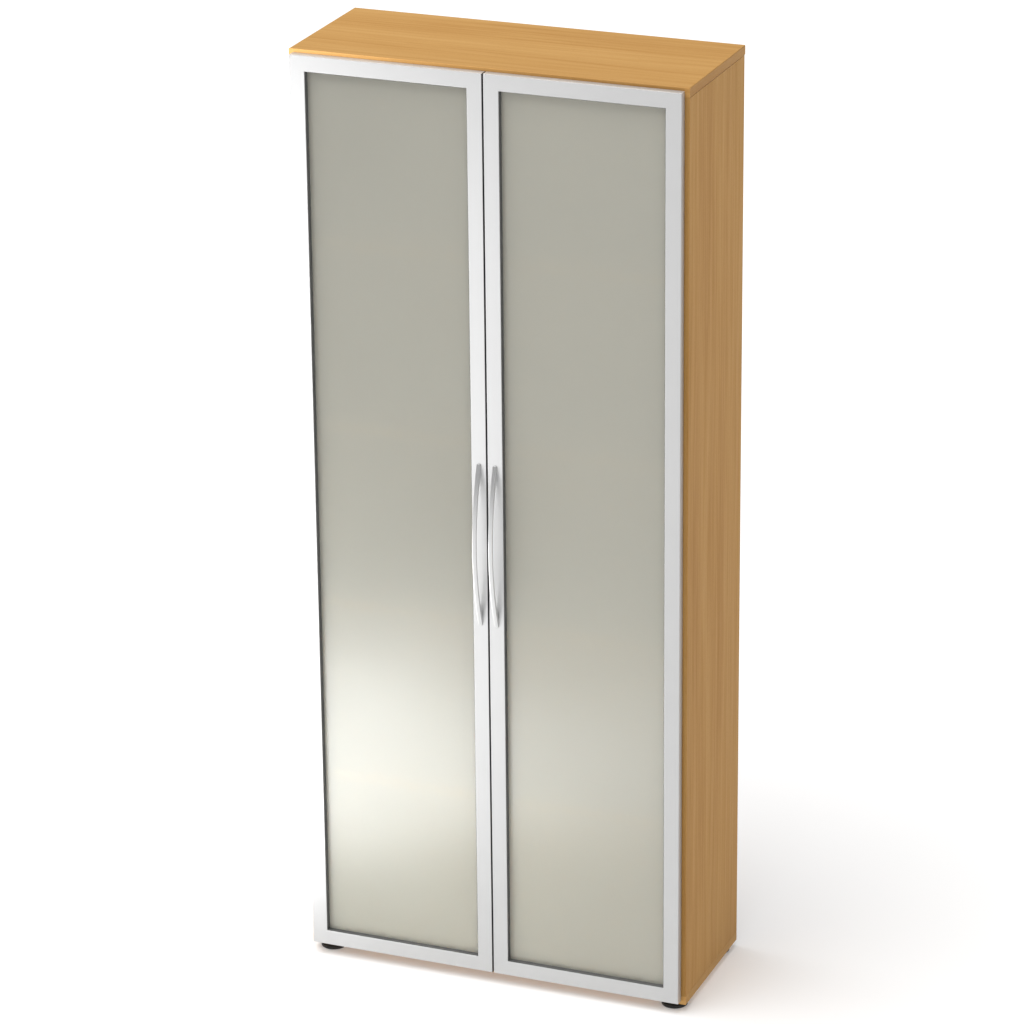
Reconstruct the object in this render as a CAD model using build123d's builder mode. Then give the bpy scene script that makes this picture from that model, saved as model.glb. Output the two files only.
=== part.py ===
from build123d import *
import os

# Tall two-door cupboard: a board carcass with four shelves, two overlay doors
# made of mitred aluminium profiles around satin glass, two bow handles,
# concealed hinges and four screw-adjusted feet.
#
# Frame: millimetres, +Z up, +X to the right seen from the front, the front
# faces -Y. The origin is the bottom centre of the whole object's box, so the
# floor is Z = 0 and the handle crowns and the rear face are at -Y / +Y.

os.makedirs("parts", exist_ok=True)

# ---------------------------------------------------------------- dimensions
WIDTH = 800.0            # over the outer faces of the sides
BODY_H = 1870.0          # underside of the bottom board to top of the top board
FOOT_H = 14.0            # floor to underside of the bottom board, feet screwed in
BOARD_T = 19.0           # all carcass boards and shelves
BACK_T = 4.0             # hardboard back panel
SIDE_D = 305.8           # depth of sides and bottom board
TOP_D = SIDE_D + BACK_T  # the top board also covers the back panel's upper edge
EDGE_T = 2.0             # edge banding thickness
EDGE_R = 1.5             # rounding of the banding's long edges
JOINT = 0.1              # hairline where two strips meet at a corner

DOOR_T = 18.0            # aluminium profile depth
DOOR_GAP = 2.2           # door back to carcass front edge
DOOR_INSET = 9.2         # door edge to the cupboard's outer side
DOOR_MID_GAP = 2.8       # gap between the two doors
DOOR_LO_INSET = 10.0     # door bottom above the underside of the bottom board
DOOR_H = 1854.0
FRAME_W = 30.5           # visible face width of the profile
WALL = 1.6               # profile wall
GROOVE = 23.0            # bottom of the glazing groove, from the outer edge
GLASS_T = 4.0
GLASS_SETBACK = 12.0     # glass front behind the door front
GASKET_T = 0.6           # gasket cheek beside the glass
FLAP_T = 0.8             # gasket flap that lines the inner return

HANDLE_PROJ = 30.0       # door front to the crown of the bow
HANDLE_W = 8.5
HANDLE_HALF = 167.5      # half the handle's length
HANDLE_BOW = 150.0       # half the length over which the bar stands free
HANDLE_PITCH = 306.0     # screw spacing
HANDLE_Z = 939.0         # mid height of the bow above the floor
BAR_T = 4.3              # bar thickness at the crown

FOOT_R = 26.0
FOOT_IN_X = 33.0         # foot centre from the outer side
FOOT_IN_Y = 28.0         # foot centre from the carcass front and rear edge

SHELF_N = 4

# ------------------------------------------------------------ derived places
HW = WIDTH / 2
TOTAL_D = HANDLE_PROJ + DOOR_T + DOOR_GAP + TOP_D
CF = -TOTAL_D / 2 + HANDLE_PROJ + DOOR_T + DOOR_GAP   # carcass front plane
DF = CF - DOOR_GAP - DOOR_T                           # door front plane
DB = CF - DOOR_GAP                                    # door back plane
Z0 = FOOT_H                                           # underside of bottom board
Z1 = Z0 + BOARD_T                                     # cupboard floor
Z3 = Z0 + BODY_H                                      # top face
Z2 = Z3 - BOARD_T                                     # underside of top board
XI = HW - BOARD_T                                     # inner faces of the sides
XC = HW - BOARD_T / 2                                 # middle of a side panel
SIDE_H = Z2 - Z1
BACK_Y = CF + SIDE_D                                  # rear edge of the sides

SHELF_GAP = (SIDE_H - SHELF_N * BOARD_T) / (SHELF_N + 1)
SHELF_Z = [Z1 + SHELF_GAP * (i + 1) + BOARD_T * i for i in range(SHELF_N)]
SHELF_HW = XI - 0.8
SHELF_FRONT = CF + 8.0
SHELF_REAR = BACK_Y - 2.8
PIN_ROWS = [CF + 37.0, BACK_Y - 37.0]                 # system hole rows
PIN_Z = [z - 2.5 for z in SHELF_Z]                    # pin axes under the shelves

CAM_Y = [CF + 60.0, BACK_Y - 60.0]
DOWEL_Y = [CF + 110.0, BACK_Y - 110.0]
CAM_OFF = 34.0                                        # cam centre from the joint
CAM_Z = [Z1 + CAM_OFF, Z2 - CAM_OFF]

BACK_SCREW_Z = [Z1 + 30 + i * (SIDE_H - 60) / 6 for i in range(7)]
BACK_SCREW_X = [-200.0, 0.0, 200.0]
BACK_SCREWS = ([(sx * XC, z) for sx in (-1, 1) for z in BACK_SCREW_Z]
               + [(x, Z0 + BOARD_T / 2) for x in BACK_SCREW_X])

DX0 = -HW + DOOR_INSET                                # left door, outer edge
DX1 = -DOOR_MID_GAP / 2                               # left door, inner edge
DZ0 = Z0 + DOOR_LO_INSET
DZ1 = DZ0 + DOOR_H
DXM = (DX0 + DX1) / 2
DZM = (DZ0 + DZ1) / 2
DW = DX1 - DX0

PX = DX0 + 5.5                                        # left door pivot axis
PY = CF - 11.0
HINGE_Z = [134.0, 678.7, 1223.3, 1768.0]
HX = DX1 - FRAME_W / 2                                # left handle, mid stile

FEET = {"front_left": (-1, CF + FOOT_IN_Y), "front_right": (1, CF + FOOT_IN_Y),
        "rear_left": (-1, BACK_Y - FOOT_IN_Y), "rear_right": (1, BACK_Y - FOOT_IN_Y)}
FOOT_XY = [(sx * (HW - FOOT_IN_X), y) for sx, y in FEET.values()]


# Reference planes. front(y) is parallel to the doors: its local axes are X and
# Z, and a negative extrusion runs towards the back. side(x) is parallel to the
# side panels: local axes Y and Z, a positive extrusion runs towards +X.
def front(y):
    return Plane(origin=(0, y, 0), x_dir=(1, 0, 0), z_dir=(0, -1, 0))


def side(x):
    return Plane(origin=(x, 0, 0), x_dir=(0, 1, 0), z_dir=(1, 0, 0))


def flat(z):
    return Plane.XY.offset(z)


# ================================================================== carcass
# Top board core, with blind holes for the connector bolts and dowels.
with BuildPart() as top_board:
    with BuildSketch(flat(Z2)):
        with Locations((0, CF + (EDGE_T + TOP_D) / 2)):
            Rectangle(WIDTH - 2 * EDGE_T, TOP_D - EDGE_T)
    extrude(amount=BOARD_T)
    with BuildSketch(flat(Z2)):
        with Locations([(sx * XC, y) for sx in (-1, 1) for y in CAM_Y]):
            Circle(3.53)
    extrude(amount=11.5, mode=Mode.SUBTRACT)
    with BuildSketch(flat(Z2)):
        with Locations([(sx * XC, y) for sx in (-1, 1) for y in DOWEL_Y]):
            Circle(4.03)
    extrude(amount=12.5, mode=Mode.SUBTRACT)
top_board.part.label = "top_board"
export_step(top_board.part, "parts/top_board.step")

# Bottom board core: connector holes in its upper face, blind sockets for the
# foot inserts in its underside.
with BuildPart() as bottom_board:
    with BuildSketch(flat(Z0)):
        with Locations((0, CF + (EDGE_T + SIDE_D) / 2)):
            Rectangle(WIDTH - 2 * EDGE_T, SIDE_D - EDGE_T)
    extrude(amount=BOARD_T)
    with BuildSketch(flat(Z1)):
        with Locations([(sx * XC, y) for sx in (-1, 1) for y in CAM_Y]):
            Circle(3.53)
    extrude(amount=-11.5, mode=Mode.SUBTRACT)
    with BuildSketch(flat(Z1)):
        with Locations([(sx * XC, y) for sx in (-1, 1) for y in DOWEL_Y]):
            Circle(4.03)
    extrude(amount=-12.5, mode=Mode.SUBTRACT)
    with BuildSketch(flat(Z0)):
        with Locations(FOOT_XY):
            Circle(8.03)
    extrude(amount=16.5, mode=Mode.SUBTRACT)
    with BuildSketch(front(BACK_Y)):
        with Locations([(x, Z0 + BOARD_T / 2) for x in BACK_SCREW_X]):
            Circle(1.73)
    extrude(amount=12.5, mode=Mode.SUBTRACT)
bottom_board.part.label = "bottom_board"
export_step(bottom_board.part, "parts/bottom_board.step")

# Banding of the top board: a front strip over the full width and one strip on
# each end, three solids. Their outer long edges are rounded.
with BuildPart() as top_board_edging:
    with BuildSketch(side(-HW)):
        with Locations((CF + EDGE_T / 2, Z2 + BOARD_T / 2)):
            Rectangle(EDGE_T, BOARD_T)
    extrude(amount=WIDTH)
    with BuildSketch(flat(Z2)):
        with Locations([(sx * (HW - EDGE_T / 2), CF + (EDGE_T + JOINT + TOP_D) / 2)
                        for sx in (-1, 1)]):
            Rectangle(EDGE_T, TOP_D - EDGE_T - JOINT)
    extrude(amount=BOARD_T)
    fillet(top_board_edging.edges().filter_by(Axis.X)
           .filter_by(lambda e: e.center().Y < CF + 0.01), EDGE_R)
    fillet(top_board_edging.edges().filter_by(Axis.Y)
           .filter_by(lambda e: abs(e.center().X) > HW - 0.01 and e.length > 50), EDGE_R)
top_board_edging.part.label = "top_board_edging"
export_step(top_board_edging.part, "parts/top_board_edging.step")

# Banding of the bottom board, laid out the same way.
with BuildPart() as bottom_board_edging:
    with BuildSketch(side(-HW)):
        with Locations((CF + EDGE_T / 2, Z0 + BOARD_T / 2)):
            Rectangle(EDGE_T, BOARD_T)
    extrude(amount=WIDTH)
    with BuildSketch(flat(Z0)):
        with Locations([(sx * (HW - EDGE_T / 2), CF + (EDGE_T + JOINT + SIDE_D) / 2)
                        for sx in (-1, 1)]):
            Rectangle(EDGE_T, SIDE_D - EDGE_T - JOINT)
    extrude(amount=BOARD_T)
    fillet(bottom_board_edging.edges().filter_by(Axis.X)
           .filter_by(lambda e: e.center().Y < CF + 0.01), EDGE_R)
    fillet(bottom_board_edging.edges().filter_by(Axis.Y)
           .filter_by(lambda e: abs(e.center().X) > HW - 0.01 and e.length > 50), EDGE_R)
bottom_board_edging.part.label = "bottom_board_edging"
export_step(bottom_board_edging.part, "parts/bottom_board_edging.step")

# Left side panel core. From inside: cam seats, shelf pin holes (three per pin
# position, 32 mm apart), hinge plate screw holes. In both ends: bolt and dowel
# bores.
with BuildPart() as side_left:
    with BuildSketch(flat(Z1)):
        with Locations((-XC, CF + (EDGE_T + SIDE_D) / 2)):
            Rectangle(BOARD_T, SIDE_D - EDGE_T)
    extrude(amount=SIDE_H)
    with BuildSketch(side(-XI)):
        with Locations([(y, z) for y in CAM_Y for z in CAM_Z]):
            Circle(7.53)
    extrude(amount=-13.0, mode=Mode.SUBTRACT)
    with BuildSketch(side(-XI)):
        with Locations([(y, z + dz) for y in PIN_ROWS for z in PIN_Z for dz in (-32, 0, 32)]):
            Circle(2.53)
    extrude(amount=-10.0, mode=Mode.SUBTRACT)
    with BuildSketch(side(-XI)):
        with Locations([(CF + 37.0, z + dz) for z in HINGE_Z for dz in (-16, 16)]):
            Circle(2.98)
    extrude(amount=-12.0, mode=Mode.SUBTRACT)
    with BuildSketch(flat(Z1)):
        with Locations([(-XC, y) for y in CAM_Y]):
            Circle(4.0)
    extrude(amount=CAM_OFF, mode=Mode.SUBTRACT)
    with BuildSketch(flat(Z2)):
        with Locations([(-XC, y) for y in CAM_Y]):
            Circle(4.0)
    extrude(amount=-CAM_OFF, mode=Mode.SUBTRACT)
    with BuildSketch(flat(Z1)):
        with Locations([(-XC, y) for y in DOWEL_Y]):
            Circle(4.03)
    extrude(amount=19.0, mode=Mode.SUBTRACT)
    with BuildSketch(flat(Z2)):
        with Locations([(-XC, y) for y in DOWEL_Y]):
            Circle(4.03)
    extrude(amount=-19.0, mode=Mode.SUBTRACT)
    with BuildSketch(front(BACK_Y)):
        with Locations([(-XC, z) for z in BACK_SCREW_Z]):
            Circle(1.73)
    extrude(amount=12.5, mode=Mode.SUBTRACT)
side_left.part.label = "side_left"
export_step(side_left.part, "parts/side_left.step")

# The right side panel is the mirror image of the left one.
with BuildPart() as side_right:
    mirror(side_left.part, about=Plane.YZ)
side_right.part.label = "side_right"
export_step(side_right.part, "parts/side_right.step")

# Front banding of the two side panels.
with BuildPart() as side_edgings:
    with BuildSketch(flat(Z1)):
        with Locations([(sx * XC, CF + EDGE_T / 2) for sx in (-1, 1)]):
            Rectangle(BOARD_T, EDGE_T)
    extrude(amount=SIDE_H)
    fillet(side_edgings.edges().filter_by(Axis.Z).group_by(Axis.Y)[0], EDGE_R)
side_edgings.part.label = "side_edgings"
export_step(side_edgings.part, "parts/side_edgings.step")

# Back panel, screwed onto the rear edges of the sides and the bottom board.
with BuildPart(front(BACK_Y + BACK_T)) as back_panel:
    with Locations((0, (Z0 + Z2) / 2)):
        Box(WIDTH - 4, Z2 - Z0, BACK_T, align=(Align.CENTER, Align.CENTER, Align.MIN))
    with Locations(BACK_SCREWS):
        Cylinder(1.75, BACK_T, align=(Align.CENTER, Align.CENTER, Align.MIN),
                 mode=Mode.SUBTRACT)
        Cone(3.35, 1.75, 1.6, align=(Align.CENTER, Align.CENTER, Align.MIN),
             mode=Mode.SUBTRACT)
back_panel.part.label = "back_panel"
export_step(back_panel.part, "parts/back_panel.step")

# Countersunk screws of the back panel, heads flush with its rear face.
with BuildPart(front(BACK_Y + BACK_T)) as back_panel_screws:
    with Locations(BACK_SCREWS):
        Cylinder(1.7, 16.0, align=(Align.CENTER, Align.CENTER, Align.MIN))
        Cone(3.3, 1.7, 1.6, align=(Align.CENTER, Align.CENTER, Align.MIN))
        Box(3.6, 0.7, 0.8, align=(Align.CENTER, Align.CENTER, Align.MIN), mode=Mode.SUBTRACT)
        Box(0.7, 3.6, 0.8, align=(Align.CENTER, Align.CENTER, Align.MIN), mode=Mode.SUBTRACT)
back_panel_screws.part.label = "back_panel_screws"
export_step(back_panel_screws.part, "parts/back_panel_screws.step")

# Four loose shelves, each a board with a banded front.
with BuildPart() as shelf_1:
    with BuildSketch(flat(SHELF_Z[0])):
        with Locations((0, (SHELF_FRONT + EDGE_T + SHELF_REAR) / 2)):
            Rectangle(2 * SHELF_HW, SHELF_REAR - SHELF_FRONT - EDGE_T)
    extrude(amount=BOARD_T)
shelf_1.part.label = "shelf_1"
export_step(shelf_1.part, "parts/shelf_1.step")

with BuildPart() as shelf_2:
    with BuildSketch(flat(SHELF_Z[1])):
        with Locations((0, (SHELF_FRONT + EDGE_T + SHELF_REAR) / 2)):
            Rectangle(2 * SHELF_HW, SHELF_REAR - SHELF_FRONT - EDGE_T)
    extrude(amount=BOARD_T)
shelf_2.part.label = "shelf_2"
export_step(shelf_2.part, "parts/shelf_2.step")

with BuildPart() as shelf_3:
    with BuildSketch(flat(SHELF_Z[2])):
        with Locations((0, (SHELF_FRONT + EDGE_T + SHELF_REAR) / 2)):
            Rectangle(2 * SHELF_HW, SHELF_REAR - SHELF_FRONT - EDGE_T)
    extrude(amount=BOARD_T)
shelf_3.part.label = "shelf_3"
export_step(shelf_3.part, "parts/shelf_3.step")

with BuildPart() as shelf_4:
    with BuildSketch(flat(SHELF_Z[3])):
        with Locations((0, (SHELF_FRONT + EDGE_T + SHELF_REAR) / 2)):
            Rectangle(2 * SHELF_HW, SHELF_REAR - SHELF_FRONT - EDGE_T)
    extrude(amount=BOARD_T)
shelf_4.part.label = "shelf_4"
export_step(shelf_4.part, "parts/shelf_4.step")

# Front banding of the four shelves.
with BuildPart() as shelf_edgings:
    with BuildSketch(side(-SHELF_HW)):
        with Locations([(SHELF_FRONT + EDGE_T / 2, z + BOARD_T / 2) for z in SHELF_Z]):
            Rectangle(EDGE_T, BOARD_T)
    extrude(amount=2 * SHELF_HW)
    fillet(shelf_edgings.edges().filter_by(Axis.X).group_by(Axis.Y)[0], 1.0)
shelf_edgings.part.label = "shelf_edgings"
export_step(shelf_edgings.part, "parts/shelf_edgings.step")

# Shelf pins: a 5 mm peg in the side, a collar, and a flat-topped rest.
with BuildPart() as shelf_pins:
    with BuildSketch(side(-XI)):
        with Locations([(y, z) for y in PIN_ROWS for z in PIN_Z]):
            Circle(2.5)
    extrude(amount=-9.0)
    with BuildSketch(side(-XI)):
        with Locations([(y, z) for y in PIN_ROWS for z in PIN_Z]):
            Circle(3.6)
            with Locations((0, 3.5)):
                Rectangle(12, 2.0, mode=Mode.SUBTRACT)
    extrude(amount=8.5)
    with BuildSketch(side(XI)):
        with Locations([(y, z) for y in PIN_ROWS for z in PIN_Z]):
            Circle(2.5)
    extrude(amount=9.0)
    with BuildSketch(side(XI)):
        with Locations([(y, z) for y in PIN_ROWS for z in PIN_Z]):
            Circle(3.6)
            with Locations((0, 3.5)):
                Rectangle(12, 2.0, mode=Mode.SUBTRACT)
    extrude(amount=-8.5)
shelf_pins.part.label = "shelf_pins"
export_step(shelf_pins.part, "parts/shelf_pins.step")

# Eccentric connector housings, flush with the inner faces of the sides. The
# slot takes the bolt's shank and the open middle its head.
with BuildPart() as cam_housings:
    with BuildSketch(side(-XI)):
        with Locations([(y, z) for y in CAM_Y for z in CAM_Z]):
            Circle(7.5)
    extrude(amount=-12.5)
    with BuildSketch(side(XI)):
        with Locations([(y, z) for y in CAM_Y for z in CAM_Z]):
            Circle(7.5)
    extrude(amount=12.5)
    with BuildSketch(flat(CAM_Z[0] - 8)):
        with Locations([(sx * XC, y) for sx in (-1, 1) for y in CAM_Y]):
            Circle(3.6)
    extrude(amount=12.0, mode=Mode.SUBTRACT)
    with BuildSketch(flat(CAM_Z[1] + 8)):
        with Locations([(sx * XC, y) for sx in (-1, 1) for y in CAM_Y]):
            Circle(3.6)
    extrude(amount=-12.0, mode=Mode.SUBTRACT)
    with BuildSketch(side(-XI)):
        with Locations([(y, z) for y in CAM_Y for z in CAM_Z]):
            Rectangle(7.0, 1.3)
            Rectangle(1.3, 7.0)
    extrude(amount=-2.0, mode=Mode.SUBTRACT)
    with BuildSketch(side(XI)):
        with Locations([(y, z) for y in CAM_Y for z in CAM_Z]):
            Rectangle(7.0, 1.3)
            Rectangle(1.3, 7.0)
    extrude(amount=2.0, mode=Mode.SUBTRACT)
cam_housings.part.label = "cam_housings"
export_step(cam_housings.part, "parts/cam_housings.step")

# Connector bolts: a threaded end in the top or bottom board, a slim shank
# through the end of the side and a head inside the housing.
with BuildPart() as cam_bolts:
    with Locations([(sx * XC, y, Z1) for sx in (-1, 1) for y in CAM_Y]):
        Cylinder(3.5, 11.0, align=(Align.CENTER, Align.CENTER, Align.MAX))
        Cylinder(2.5, CAM_OFF + 1.0, align=(Align.CENTER, Align.CENTER, Align.MIN))
    with Locations([(sx * XC, y, Z1 + CAM_OFF) for sx in (-1, 1) for y in CAM_Y]):
        Cylinder(3.3, 3.0)
    with Locations([(sx * XC, y, Z2) for sx in (-1, 1) for y in CAM_Y]):
        Cylinder(3.5, 11.0, align=(Align.CENTER, Align.CENTER, Align.MIN))
        Cylinder(2.5, CAM_OFF + 1.0, align=(Align.CENTER, Align.CENTER, Align.MAX))
    with Locations([(sx * XC, y, Z2 - CAM_OFF) for sx in (-1, 1) for y in CAM_Y]):
        Cylinder(3.3, 3.0)
cam_bolts.part.label = "cam_bolts"
export_step(cam_bolts.part, "parts/cam_bolts.step")

# Beech dowels that locate the sides on the top and bottom boards.
with BuildPart() as wood_dowels:
    with Locations([(sx * XC, y, Z1 + 3.0) for sx in (-1, 1) for y in DOWEL_Y]
                   + [(sx * XC, y, Z2 - 3.0) for sx in (-1, 1) for y in DOWEL_Y]):
        Cylinder(4.0, 30.0)
    chamfer(wood_dowels.edges().filter_by(GeomType.CIRCLE), 1.0)
wood_dowels.part.label = "wood_dowels"
export_step(wood_dowels.part, "parts/wood_dowels.step")

# ================================================================ left door
# Section of the aluminium profile. u runs from the door's outer edge towards
# the glass, v from the front face to the back. A hollow chamber carries the
# corner brackets; the groove holds the glass in its gasket.
PROFILE = [(0, 0), (FRAME_W, 0), (FRAME_W, 11.4), (GROOVE, 11.4), (GROOVE, 16.6),
           (29.8, 16.6), (29.8, DOOR_T), (0, DOOR_T)]
CHAMBER = [(WALL, WALL), (FRAME_W - WALL, WALL), (FRAME_W - WALL, 9.8),
           (GROOVE - WALL, 9.8), (GROOVE - WALL, DOOR_T - WALL), (WALL, DOOR_T - WALL)]

# Outer (hinge side) stile, mitred at both ends, with four windows in its back
# for the hinge cups and pilot holes for their screws.
with BuildPart() as door_left_stile_outer:
    with BuildSketch(flat(DZ0)):
        Polygon(*[(DX0 + u, DF + v) for u, v in PROFILE], align=None)
        Polygon(*[(DX0 + u, DF + v) for u, v in CHAMBER], align=None, mode=Mode.SUBTRACT)
    extrude(amount=DOOR_H)
    fillet(door_left_stile_outer.edges().filter_by(Axis.Z)
           .filter_by(lambda e: e.center().Y < DF + 0.01), 0.8)
    with BuildSketch(front(DF)):
        Polygon((DX0, DZ0), (DX0 + FRAME_W, DZ0 + FRAME_W), (DX0 + FRAME_W, DZ1 - FRAME_W),
                (DX0, DZ1), align=None)
    extrude(amount=-DOOR_T, mode=Mode.INTERSECT)
    with BuildSketch(front(DB)):
        with Locations([(DX0 + 11.5, z) for z in HINGE_Z]):
            Rectangle(19.5, 42.2)
    extrude(amount=2.0, mode=Mode.SUBTRACT)
    with BuildSketch(front(DB)):
        with Locations([(DX0 + 11.5, z + dz) for z in HINGE_Z for dz in (-25.5, 25.5)]):
            Circle(1.33)
    extrude(amount=2.0, mode=Mode.SUBTRACT)
door_left_stile_outer.part.label = "door_left_stile_outer"
export_step(door_left_stile_outer.part, "parts/door_left_stile_outer.step")

# Inner (handle side) stile, with the through holes of the handle screws.
with BuildPart() as door_left_stile_inner:
    with BuildSketch(flat(DZ0)):
        Polygon(*[(DX1 - u, DF + v) for u, v in PROFILE], align=None)
        Polygon(*[(DX1 - u, DF + v) for u, v in CHAMBER], align=None, mode=Mode.SUBTRACT)
    extrude(amount=DOOR_H)
    fillet(door_left_stile_inner.edges().filter_by(Axis.Z)
           .filter_by(lambda e: e.center().Y < DF + 0.01), 0.8)
    with BuildSketch(front(DF)):
        Polygon((DX1, DZ0), (DX1, DZ1), (DX1 - FRAME_W, DZ1 - FRAME_W),
                (DX1 - FRAME_W, DZ0 + FRAME_W), align=None)
    extrude(amount=-DOOR_T, mode=Mode.INTERSECT)
    with BuildSketch(front(DF)):
        with Locations([(HX, HANDLE_Z + s * HANDLE_PITCH / 2) for s in (-1, 1)]):
            Circle(2.2)
    extrude(amount=-DOOR_T, mode=Mode.SUBTRACT)
door_left_stile_inner.part.label = "door_left_stile_inner"
export_step(door_left_stile_inner.part, "parts/door_left_stile_inner.step")

# Top rail.
with BuildPart() as door_left_rail_top:
    with BuildSketch(side(DX0)):
        Polygon(*[(DF + v, DZ1 - u) for u, v in PROFILE], align=None)
        Polygon(*[(DF + v, DZ1 - u) for u, v in CHAMBER], align=None, mode=Mode.SUBTRACT)
    extrude(amount=DW)
    fillet(door_left_rail_top.edges().filter_by(Axis.X)
           .filter_by(lambda e: e.center().Y < DF + 0.01), 0.8)
    with BuildSketch(front(DF)):
        Polygon((DX0, DZ1), (DX0 + FRAME_W, DZ1 - FRAME_W), (DX1 - FRAME_W, DZ1 - FRAME_W),
                (DX1, DZ1), align=None)
    extrude(amount=-DOOR_T, mode=Mode.INTERSECT)
door_left_rail_top.part.label = "door_left_rail_top"
export_step(door_left_rail_top.part, "parts/door_left_rail_top.step")

# Bottom rail.
with BuildPart() as door_left_rail_bottom:
    with BuildSketch(side(DX0)):
        Polygon(*[(DF + v, DZ0 + u) for u, v in PROFILE], align=None)
        Polygon(*[(DF + v, DZ0 + u) for u, v in CHAMBER], align=None, mode=Mode.SUBTRACT)
    extrude(amount=DW)
    fillet(door_left_rail_bottom.edges().filter_by(Axis.X)
           .filter_by(lambda e: e.center().Y < DF + 0.01), 0.8)
    with BuildSketch(front(DF)):
        Polygon((DX0, DZ0), (DX1, DZ0), (DX1 - FRAME_W, DZ0 + FRAME_W),
                (DX0 + FRAME_W, DZ0 + FRAME_W), align=None)
    extrude(amount=-DOOR_T, mode=Mode.INTERSECT)
door_left_rail_bottom.part.label = "door_left_rail_bottom"
export_step(door_left_rail_bottom.part, "parts/door_left_rail_bottom.step")

# Four L-shaped corner brackets inside the hollow profiles.
with BuildPart() as door_left_corner_brackets:
    with BuildSketch(front(DF + 3.0)):
        for cx, sx in ((DX0, 1), (DX1, -1)):
            for cz, sz in ((DZ0, 1), (DZ1, -1)):
                Polygon(*[(cx + sx * a, cz + sz * b) for a, b in
                          ((1.9, 1.9), (58, 1.9), (58, 21.1), (21.1, 21.1), (21.1, 58), (1.9, 58))],
                        align=None)
    extrude(amount=-12.0)
door_left_corner_brackets.part.label = "door_left_corner_brackets"
export_step(door_left_corner_brackets.part, "parts/door_left_corner_brackets.step")

# Glass pane.
with BuildPart() as door_left_glass:
    with BuildSketch(front(DF + GLASS_SETBACK)):
        with Locations((DXM, DZM)):
            Rectangle(DW - 48.6, DOOR_H - 48.6)
    extrude(amount=-GLASS_T)
door_left_glass.part.label = "door_left_glass"
export_step(door_left_glass.part, "parts/door_left_glass.step")

# Glazing gasket: cheeks on both sides of the glass and a flap that lines the
# frame's inner return. Four strips with hairline mitres at the corners.
with BuildPart() as door_left_gasket:
    with BuildSketch(front(DF + 11.4)):
        with Locations((DXM, DZM)):
            Rectangle(DW - 2 * GROOVE, DOOR_H - 2 * GROOVE)
            Rectangle(DW - 2 * (GROOVE + 1.0), DOOR_H - 2 * (GROOVE + 1.0), mode=Mode.SUBTRACT)
    extrude(amount=-5.2)
    with BuildSketch(front(DF + 11.4)):
        with Locations((DXM, DZM)):
            Rectangle(DW - 2 * GROOVE, DOOR_H - 2 * GROOVE)
            Rectangle(DW - 2 * (FRAME_W + FLAP_T), DOOR_H - 2 * (FRAME_W + FLAP_T),
                      mode=Mode.SUBTRACT)
    extrude(amount=-GASKET_T)
    with BuildSketch(front(DF + 1.2)):
        with Locations((DXM, DZM)):
            Rectangle(DW - 2 * FRAME_W, DOOR_H - 2 * FRAME_W)
            Rectangle(DW - 2 * (FRAME_W + FLAP_T), DOOR_H - 2 * (FRAME_W + FLAP_T),
                      mode=Mode.SUBTRACT)
    extrude(amount=-10.8)
    with BuildSketch(front(DF + GLASS_SETBACK + GLASS_T)):
        with Locations((DXM, DZM)):
            Rectangle(DW - 2 * GROOVE, DOOR_H - 2 * GROOVE)
            Rectangle(DW - 2 * (FRAME_W + 0.3), DOOR_H - 2 * (FRAME_W + 0.3),
                      mode=Mode.SUBTRACT)
    extrude(amount=-GASKET_T)
    with BuildSketch(front(DF)):
        with Locations(Location((DX0 + 27, DZ0 + 27), 45), Location((DX1 - 27, DZ1 - 27), 45),
                       Location((DX1 - 27, DZ0 + 27), -45), Location((DX0 + 27, DZ1 - 27), -45)):
            Rectangle(24, JOINT)
    extrude(amount=-DOOR_T, mode=Mode.SUBTRACT)
door_left_gasket.part.label = "door_left_gasket"
export_step(door_left_gasket.part, "parts/door_left_gasket.step")

# Bow handle: a flat bar bent to a shallow arc whose ends thicken into solid
# feet on the stile, round-ended in front view, with soft front edges.
with BuildPart() as door_left_handle:
    with BuildSketch(side(HX - HANDLE_W / 2)):
        with BuildLine():
            ThreePointArc((DF - 1.8, HANDLE_Z - HANDLE_HALF), (DF - HANDLE_PROJ, HANDLE_Z),
                          (DF - 1.8, HANDLE_Z + HANDLE_HALF))
            Line((DF - 1.8, HANDLE_Z + HANDLE_HALF), (DF, HANDLE_Z + HANDLE_HALF))
            Line((DF, HANDLE_Z + HANDLE_HALF), (DF, HANDLE_Z + HANDLE_BOW))
            ThreePointArc((DF, HANDLE_Z + HANDLE_BOW), (DF - HANDLE_PROJ + BAR_T, HANDLE_Z),
                          (DF, HANDLE_Z - HANDLE_BOW))
            Line((DF, HANDLE_Z - HANDLE_BOW), (DF, HANDLE_Z - HANDLE_HALF))
            Line((DF, HANDLE_Z - HANDLE_HALF), (DF - 1.8, HANDLE_Z - HANDLE_HALF))
        make_face()
    extrude(amount=HANDLE_W)
    with BuildSketch(front(DF)):
        with Locations(Location((HX, HANDLE_Z), 90)):
            SlotOverall(2 * HANDLE_HALF, HANDLE_W)
    extrude(amount=HANDLE_PROJ + 5, mode=Mode.INTERSECT)
    fillet(door_left_handle.edges().filter_by(
        lambda e: e.length > 300 and e.center().Y < DF - 15), 1.6)
    with BuildSketch(front(DF)):
        with Locations([(HX, HANDLE_Z + s * HANDLE_PITCH / 2) for s in (-1, 1)]):
            Circle(2.0)
    extrude(amount=4.3, mode=Mode.SUBTRACT)
door_left_handle.part.label = "door_left_handle"
export_step(door_left_handle.part, "parts/door_left_handle.step")

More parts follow.
